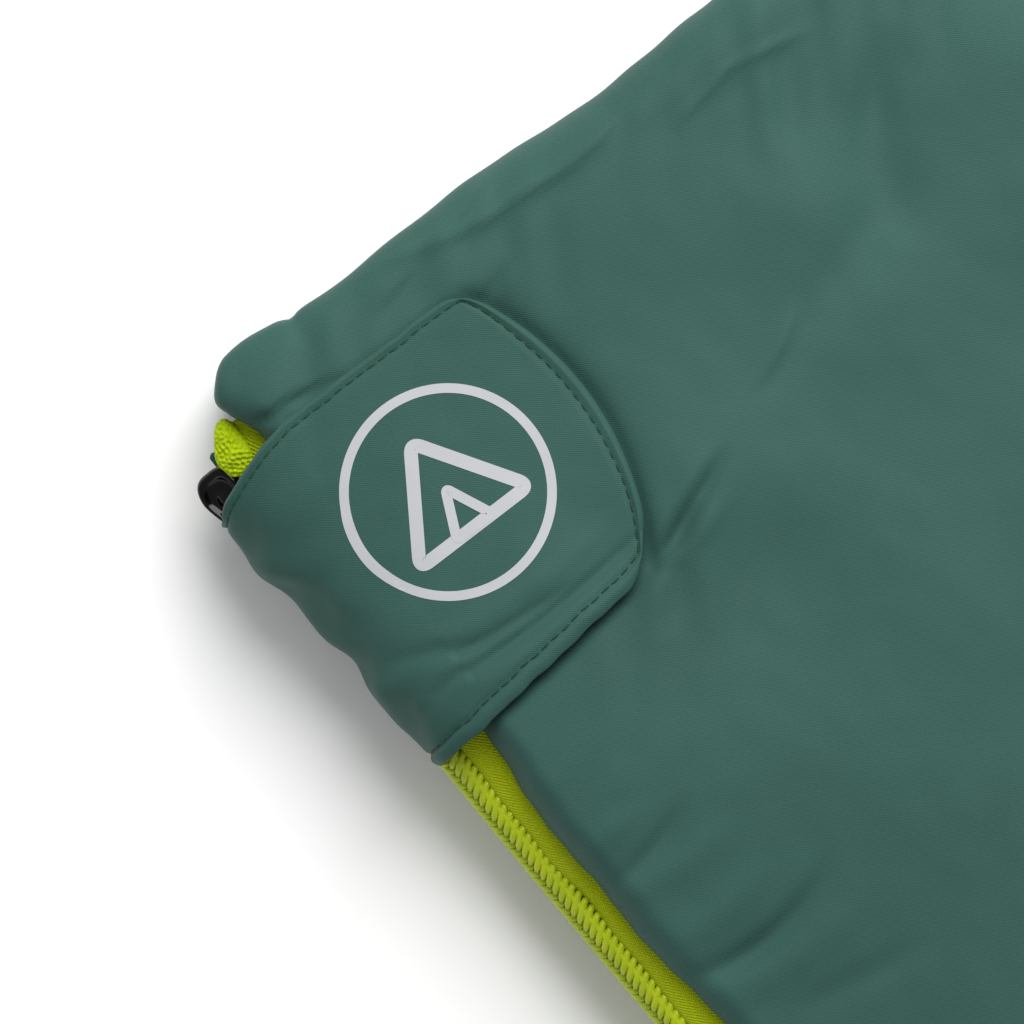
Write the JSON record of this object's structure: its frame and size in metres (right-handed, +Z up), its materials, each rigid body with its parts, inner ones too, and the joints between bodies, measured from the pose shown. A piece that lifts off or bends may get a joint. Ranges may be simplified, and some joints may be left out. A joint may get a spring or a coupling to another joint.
{
  "type": "camp quilt",
  "caption": "Padded camping quilt folded lengthwise and zipped shut, with a contrast coil zip round side and foot, sliders, and a hook-and-loop flap over the zip's head end.",
  "frame": {"origin": "on the ground, under the middle of the folded quilt's box", "axes": "+Y to the head end, +X to the fold, -X the zipped side, +Z up"},
  "size_m": [0.716, 2, 0.0466],
  "materials": {
    "shell": "satin",
    "lining": "matte",
    "batting": "matte",
    "zip_tape": "matte",
    "zip_coil": "satin",
    "zip_stop": "satin",
    "slider": "gloss",
    "fastener": "matte",
    "label": "matte",
    "thread": "satin",
    "print": "satin"
  },
  "bodies": {
    "bottom_half": {"shell_bottom": "shell", "batt_bottom": "batting", "lining_bottom": "lining", "shell_fold": "shell", "batt_fold": "batting", "zip_tape_lower": "zip_tape", "zip_coil_lower": "zip_coil", "zip_stop_head_lower": "zip_stop", "zip_stop_foot_lower": "zip_stop", "zip_end_tab": "shell", "flap_root_seam": "shell", "care_label": "label"},
    "top_half": {"shell_top": "shell", "batt_top": "batting", "lining_top": "lining", "zip_tape_upper": "zip_tape", "zip_coil_upper": "zip_coil", "zip_stop_head_upper": "zip_stop", "zip_stop_foot_upper": "zip_stop", "zip_tape_end": "zip_tape", "loop_pad": "fastener"},
    "head_slider": {"head_slider_body": "slider"},
    "head_pull": {"head_slider_pull": "slider"},
    "foot_slider": {"foot_slider_body": "slider"},
    "foot_pull": {"foot_slider_pull": "slider"},
    "flap_side": {"flap_side_outer": "shell", "flap_side_inner": "shell"},
    "flap_tip": {"flap_tip_outer": "shell", "flap_tip_inner": "shell", "hook_pad": "fastener"}
  },
  "joints": [
    {"name": "half_open", "type": "hinge", "parent": "bottom_half", "child": "top_half", "pos_m": [0.33715, 0, 0.021], "axis": [0, 1, 0], "range_deg": [0, 179.5], "deforming": ["shell_fold", "batt_fold", "flap_side_outer", "flap_side_inner", "flap_tip_outer", "flap_tip_inner", "hook_pad"]},
    {"name": "flap_open", "type": "hinge", "parent": "bottom_half", "child": "flap_side", "pos_m": [-0.35715, 0.94335, 0.0053], "axis": [0, -1, 0], "range_deg": [0, 90]},
    {"name": "flap_unfold", "type": "hinge", "parent": "flap_side", "child": "flap_tip", "pos_m": [-0.35615, 0.94335, 0.04445], "axis": [0, -1, 0], "range_deg": [0, 90]},
    {"name": "head_slider_run", "type": "slide", "parent": "bottom_half", "child": "head_slider", "axis": [0, -1, 0], "range_m": [0, 1.85]},
    {"name": "head_pull_swing", "type": "hinge", "parent": "head_slider", "child": "head_pull", "pos_m": [-0.35395, 0.9778, 0.021], "axis": [0, 0, -1], "range_deg": [0, 180]},
    {"name": "foot_slider_run", "type": "slide", "parent": "bottom_half", "child": "foot_slider", "axis": [-1, 0, 0], "range_m": [0, 0.56]},
    {"name": "foot_pull_swing", "type": "hinge", "parent": "foot_slider", "child": "foot_pull", "pos_m": [0.3178, -0.99815, 0.021], "axis": [0, 0, 1], "range_deg": [0, 180]}
  ],
  "couplings": [
    {"joint": "flap_unfold", "follows": "flap_open", "ratio": 1}
  ]
}
